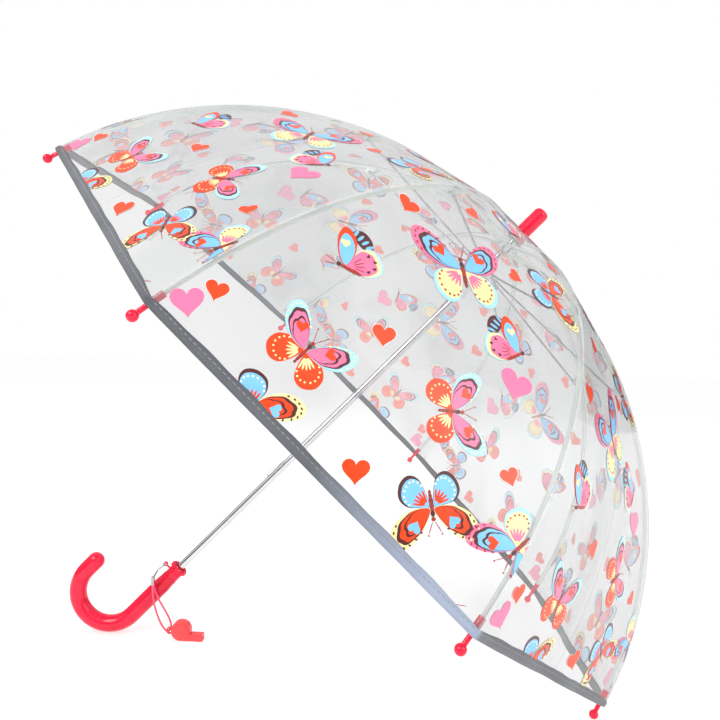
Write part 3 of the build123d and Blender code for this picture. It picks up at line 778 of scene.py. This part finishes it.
def spreadWings(look):
    # a butterfly seen from above, two units across, head towards +Y: layer, ink and outline
    facts, shapes = butterflies[look], []
    upper, lower = smoothLoop(wings["upper"]), smoothLoop(wings[facts["lower"]])
    rootUpper, rootLower = (0.08, 0.04), (0.10, -0.10)
    shapes += [(0, facts["lowerEdge"], shrunk(lower, rootLower, 1.04)),
               (1, facts["lowerMain"], shrunk(lower, rootLower, 0.92)),
               (2, facts["upperEdge"], shrunk(upper, rootUpper, 1.04)),
               (3, facts["upperBand"], shrunk(upper, rootUpper, 0.88, 7, 0.04)),
               (4, facts["upperMain"], shrunk(upper, rootUpper, 0.80, 7, 0.05)),
               (5, facts["upperBand"], shrunk(upper, rootUpper, 0.68, 6, 0.05)),
               (6, facts["upperMain"], shrunk(upper, rootUpper, 0.62, 6, 0.05)),
               (7, facts["spot"], heart(0.46, 0.36, 0.30, -0.6))]
    rim = shrunk(upper, rootUpper, 0.955)
    for i in range(7, 25, 2):
        shapes.append((4, facts["edgeDots"], oval(rim[i].x, rim[i].y, 0.075, 0.045, 0.9 - i * 0.13, 6)))
    low = shrunk(lower, rootLower, 0.82)
    for i in range(9, 27, 2):
        shapes.append((2, facts["lowerDots"], oval(low[i].x, low[i].y, 0.055, 0.055, 0, 6)))
    for i in range(5):
        angle = -0.25 - i * 0.27
        middle = Vector((0.08, -0.06)) + 0.22 * Vector((cos(angle), sin(angle)))
        shapes.append((3, facts["rays"], oval(middle.x, middle.y, 0.30, 0.055, angle, 7)))
    both = [(layer, ink, outline) for layer, ink, outline in shapes]
    both += [(layer, ink, [Vector((-p.x, p.y)) for p in outline]) for layer, ink, outline in shapes]
    both += [(8, facts["body"], oval(0, -0.10, 0.085, 0.62, 0, 12)), (9, "dark", oval(0, 0.12, 0.10, 0.14, 0, 8)),
             (9, facts["body"], oval(0, 0.24, 0.10, 0.10, 0, 8))]
    for y in (-0.18, -0.27, -0.36):
        both.append((9, "dark", oval(0, y, 0.08, 0.03, 0, 6)))
    for side in (-1, 1):
        both.append((8, "rust", oval(side * 0.09, 0.42, 0.016, 0.32, -side * 0.45, 6)))
        both.append((8, "rust", oval(side * 0.16, 0.58, 0.04, 0.04, 0, 6)))
    return both


def sideWings():
    # a butterfly seen from the side with its wings raised
    front, back, crest = (smoothLoop(wings[part]) for part in ("front", "back", "crest"))
    rootFront, rootBack = (-0.04, -0.22), (0.06, -0.28)
    shapes = [(0, "dark", shrunk(crest, (0.2, 0.5), 1.0)), (0, "ice", shrunk(back, rootBack, 1.07)),
              (1, "cream", shrunk(back, rootBack, 1.0)), (2, "pink", shrunk(back, rootBack, 0.90, 6, 0.05)),
              (3, "orange", shrunk(front, rootFront, 1.04)), (4, "sky", shrunk(front, rootFront, 0.84)),
              (5, "cream", heart(-0.20, 0.32, 0.26, 0.25))]
    for i in range(4):
        shapes.append((1, "sky", oval(-0.02 + i * 0.15, 0.74 - i * 0.075, 0.09, 0.26, -0.3 - i * 0.2, 8)))
    for i, (x, y) in enumerate(((0.66, 0.16), (0.70, -0.04), (0.58, -0.20), (0.46, 0.24))):
        shapes.append((3, "dark", heart(x, y, 0.11, i * 0.4)))
    for i in range(5):
        angle = 0.95 - i * 0.3
        middle = Vector((0.05, -0.27)) + 0.30 * Vector((cos(angle), sin(angle)))
        shapes.append((3, "rust", oval(middle.x, middle.y, 0.34, 0.032, angle, 6)))
    shapes += [(6, "rust", oval(0.12, -0.36, 0.62, 0.09, -0.1, 12)),
               (7, "dark", oval(-0.2, -0.33, 0.12, 0.12, 0, 8)),
               (6, "rust", oval(-0.42, -0.28, 0.34, 0.018, -0.25, 6)),
               (6, "rust", oval(-0.40, -0.40, 0.34, 0.018, 0.25, 6))]
    return shapes


# kind, millimetres right of the panel's middle, millimetres above the hem, turn in degrees, width in millimetres
layout = [
    ("poppy", -54, 50, 0, 55), ("poppy", 40, 94, -48, 55), ("dusk", 70, 37, -128, 56), ("side", -80, 121, 25, 54),
    ("side", 41, 172, 65, -54), ("meadow", -20, 191, 45, 78), ("meadow", 128, 58, 172, 58),
    ("dusk", -52, -1, -98, 56), ("side", 117, -5, 200, 50), ("heart", -119, 37, 30, 15),
    ("heart", -27, 97, 35, 17), ("heart", -82, 200, 10, 19), ("heart", 20, 20, 40, 18),
    ("heart", 95, 90, 60, 14), ("bigHeart", -126, 19, 50, 21), ("bigHeart", 61, 147, 20, 26),
    ("dusk", 44, 262, -60, 60), ("heart", -46, 264, 80, 16), ("side", -18, 306, 60, 46),
    ("heart", 34, 318, -30, 15), ("bigHeart", 8, 356, 40, 20), ("poppy", -6, 398, 20, 46),
    ("heart", 12, 238, 100, 15),
]
printFacts = {"lift": 0.00006, "layerLift": 0.000035, "row": 0.009, "hemEdge": 0.004, "seamEdge": 0.0006,
              "paleness": 0.32, "crownEdge": 0.012, "nearSeam": 0.6, "motifStep": 0.01, "joinWithin": 0.000004}


def motifShapes(kind):
    if kind == "side":
        return sideWings()
    if kind == "heart":
        return [(0, "white", heart(0, 0, 2.1)), (1, "orange", heart(0, 0, 2.0))]
    if kind == "bigHeart":
        return [(0, "heartPink", heart(0, 0, 2.0))]
    return spreadWings(kind)


def makePanelPrint():
    # one flat panel of print as faces with an ink each; x across, y along, z counts the layers
    flat = bmesh.new()
    inkLayer = flat.faces.layers.int.new("ink")
    inkNames = list(inks)
    for number, (kind, across, along, turn, width) in enumerate(layout):
        place = Matrix.Translation((across / 1000, along / 1000, 0)) @ Matrix.Rotation(radians(turn), 4, "Z")
        size = abs(width) / 2000
        flip = -1 if width < 0 else 1
        for layer, ink, outline in motifShapes(kind):
            corners = [place @ Vector((p.x * size * flip, p.y * size, 0)) for p in outline]
            turned = sum(a.x * b.y - a.y * b.x for a, b in zip(corners, corners[1:] + corners[:1]))
            if turned < 0:
                corners.reverse()
            height = layer + printFacts["motifStep"] * number / len(layout)
            verts = [flat.verts.new((c.x, c.y, height)) for c in corners]
            face = flat.faces.new(verts)
            face[inkLayer] = inkNames.index(ink)
    bmesh.ops.triangulate(flat, faces=flat.faces[:])
    rows = ceil(fullLength / printFacts["row"])
    cuts = [printFacts["row"] * (i + 1) for i in range(rows)] + [lowerLength]

    def cut(geometry, place, normal, clear=False):
        bmesh.ops.bisect_plane(flat, geom=geometry, plane_co=place, plane_no=normal, clear_outer=clear)

    def everything():
        return flat.verts[:] + flat.edges[:] + flat.faces[:]

    cut(everything(), (0, printFacts["hemEdge"], 0), (0, -1, 0), True)
    cut(everything(), (0, fullLength - printFacts["crownEdge"], 0), (0, 1, 0), True)
    for along in cuts:
        cut(everything(), (0, along, 0), (0, 1, 0))
    cut(everything(), (0, 0, 0), (1, 0, 0))
    seamEdges = {}
    for along in [0.0] + cuts[:-1]:
        upTo = along + printFacts["row"]
        lowEdge, highEdge = (halfWidth(min(a, fullLength)) - printFacts["seamEdge"] for a in (along, upTo))
        for side in (1, -1):
            normal = Vector((side * printFacts["row"], lowEdge - highEdge, 0))
            seamEdges[round(along / printFacts["row"]), side] = (Vector((side * lowEdge, along, 0)), normal)
            faces = [f for f in flat.faces if along < f.calc_center_median().y < upTo
                     and f.calc_center_median().x * side > printFacts["nearSeam"] * highEdge]
            parts = set(faces) | {e for f in faces for e in f.edges} | {v for f in faces for v in f.verts}
            if faces:
                cut(list(parts), (side * lowEdge, along, 0), normal)
    beyond = []
    for face in flat.faces:
        centre = face.calc_center_median()
        place, normal = seamEdges[int(centre.y / printFacts["row"]), 1 if centre.x > 0 else -1]
        if (centre - place).xy.dot(normal.xy) > 0:
            beyond.append(face)
    bmesh.ops.delete(flat, geom=beyond, context="FACES")
    return flat, inkLayer


def makePrints():
    flat, inkLayer = makePanelPrint()
    colours = list(inks.values())
    lists = {(level, side): [] for level in ("upper", "lower") for side in (1, -1)}
    for face in flat.faces:
        centre = face.calc_center_median()
        level = "lower" if centre.y < lowerLength else "upper"
        lists[level, 1 if centre.x > 0 else -1].append(
            ([v.co.copy() for v in face.verts], colours[face[inkLayer]]))
    flat.free()
    for k in ribNumbers:
        for level in ("upper", "lower"):
            points, faces, tints = [], [], []
            for panel, side in panelsBeside(k):
                for corners, colour in lists[level, side]:
                    for outward in (1, -1):
                        start = len(points)
                        for co in corners:
                            lift = printFacts["lift"] + printFacts["layerLift"] * co.z
                            if outward < 0:
                                lift = -lift - filmFacts["thickness"]
                            points.append(onDome(panel, co.x, co.y, lift))
                        order = range(start, len(points))
                        faces.append(tuple(order) if outward > 0 else tuple(reversed(order)))
                        pale = printFacts["paleness"] if outward < 0 else 0
                        tints.append(tuple(c + (1 - c) * pale for c in colour))
            piece = meshPiece(f"print_{level}_{k}", points, faces, "printInk")
            attribute = piece.data.color_attributes.new("ink", "FLOAT_COLOR", "CORNER")
            for polygon, tint in zip(piece.data.polygons, tints):
                for loop in polygon.loop_indices:
                    attribute.data[loop].color = (*tint, 1)
            activate(piece)
            bpy.ops.object.mode_set(mode="EDIT")
            bpy.ops.mesh.select_all(action="SELECT")
            bpy.ops.mesh.remove_doubles(threshold=printFacts["joinWithin"])
            bpy.ops.object.mode_set(mode="OBJECT")
            bpy.ops.object.shade_smooth()
            followRib(piece, k, level)
            print("print", level, k, len(faces), "faces")


makePrints()

# floor, light and surroundings
white, dark = (1, 1, 1, 1), (0.10, 0.105, 0.11, 1)
studio = {"floorColor": (0.45, 0.45, 0.45, 1), "floorSize": 14, "skyColor": white, "air": 1.0, "lit": 0.78,
          "glow": 0.62, "aim": (0, 0, 0.25),
          "bands": ((0.30, white), (0.52, dark), (0.60, dark), (0.70, white), (0.90, white),
                    (0.97, (0.45, 0.45, 0.46, 1)))}  # from straight down to straight up
lights = {  # place, size in metres, watts
    "keyLight": ((-1.3, -1.4, 1.7), 1.1, 26), "fillLight": ((1.5, -1.1, 0.9), 1.0, 9),
    "backLight": ((0.6, 1.6, 1.7), 1.4, 18)}


def makeAir():
    # white all round, with darker stretches that only polished metal and gloss pick up
    world = bpy.data.worlds.new("studioAir")
    world.use_nodes = True
    bpy.context.scene.world = world
    tree = world.node_tree
    new, link = tree.nodes.new, tree.links.new
    seen, lit, mix = tree.nodes["Background"], new("ShaderNodeBackground"), new("ShaderNodeMixShader")
    setShader(seen, {"Color": studio["skyColor"], "Strength": studio["air"]})
    direction, parts = new("ShaderNodeTexCoord"), new("ShaderNodeSeparateXYZ")
    bands, ramp, rays = new("ShaderNodeMath"), new("ShaderNodeValToRGB"), new("ShaderNodeLightPath")
    bands.operation = "MULTIPLY_ADD"
    bands.inputs[1].default_value = 0.5
    bands.inputs[2].default_value = 0.5
    stops = ramp.color_ramp.elements
    for number, (position, color) in enumerate(studio["bands"]):
        stop = stops[number] if number < 2 else stops.new(position)
        stop.position, stop.color = position, color
    glossy = new("ShaderNodeMix")
    glossy.data_type = "RGBA"
    glossy.inputs["A"].default_value = studio["skyColor"]
    link(direction.outputs["Generated"], parts.inputs["Vector"])
    link(parts.outputs["Z"], bands.inputs[0])
    link(bands.outputs["Value"], ramp.inputs["Fac"])
    link(rays.outputs["Is Glossy Ray"], glossy.inputs["Factor"])
    link(ramp.outputs["Color"], glossy.inputs["B"])
    link(glossy.outputs["Result"], lit.inputs["Color"])
    lit.inputs["Strength"].default_value = studio["lit"]
    link(rays.outputs["Is Camera Ray"], mix.inputs["Fac"])
    link(lit.outputs["Background"], mix.inputs[1])
    link(seen.outputs["Background"], mix.inputs[2])
    link(mix.outputs["Shader"], tree.nodes["World Output"].inputs["Surface"])


def makeStudio():
    bpy.ops.mesh.primitive_plane_add(size=studio["floorSize"], location=(0, 0, 0))
    floor = bpy.context.object
    floor.name = "studioFloor"
    paper, tree, shader = nodeMaterial("studioPaper")
    setShader(shader, {"Roughness": 0.8, "Base Color": studio["floorColor"], "Specular IOR Level": 0.2,
                       "Emission Color": studio["skyColor"], "Emission Strength": studio["glow"]})
    grain = tree.nodes.new("ShaderNodeTexNoise")
    grain.inputs["Scale"].default_value = 40
    addBump(tree, shader, grain.outputs["Fac"], 0.02, 0.001)
    floor.data.materials.append(paper)
    for name, (place, size, power) in lights.items():
        bpy.ops.object.light_add(type="AREA", location=place)
        light = bpy.context.object
        light.name = name
        light.data.size = size
        light.data.energy = power
        light.visible_glossy = name != "backLight"
        light.rotation_euler = (Vector(studio["aim"]) - Vector(place)).to_track_quat("-Z", "Y").to_euler()
    makeAir()


makeStudio()
print("studio made")
